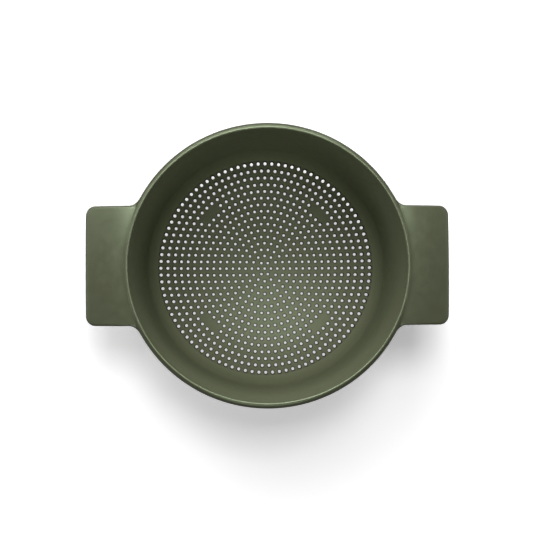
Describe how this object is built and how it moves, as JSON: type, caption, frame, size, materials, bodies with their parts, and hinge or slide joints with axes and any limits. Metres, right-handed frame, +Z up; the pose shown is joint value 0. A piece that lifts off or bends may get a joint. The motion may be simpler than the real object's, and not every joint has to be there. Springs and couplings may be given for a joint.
{
  "type": "colander",
  "caption": "Round colander in dark olive green plastic, with a perforated domed floor, a thin rounded lip, two flat tab handles and four short feet.",
  "frame": {"origin": "on the bowl's axis, on the surface that the four feet stand on", "axes": "+X along the two handles towards the right one, +Y from the front of the bowl to its back, +Z up out of the bowl's mouth"},
  "size_m": [0.304, 0.2406, 0.1475],
  "materials": {
    "olive_plastic": "fine semi-matte moulded surface, dark olive green"
  },
  "bodies": {
    "root": {"floor_middle": "olive_plastic", "floor_band": "olive_plastic", "bowl_wall": "olive_plastic", "lip": "olive_plastic", "handle_left": "olive_plastic", "handle_right": "olive_plastic", "foot_front_left": "olive_plastic", "foot_front_right": "olive_plastic", "foot_back_left": "olive_plastic", "foot_back_right": "olive_plastic"}
  },
  "joints": []
}
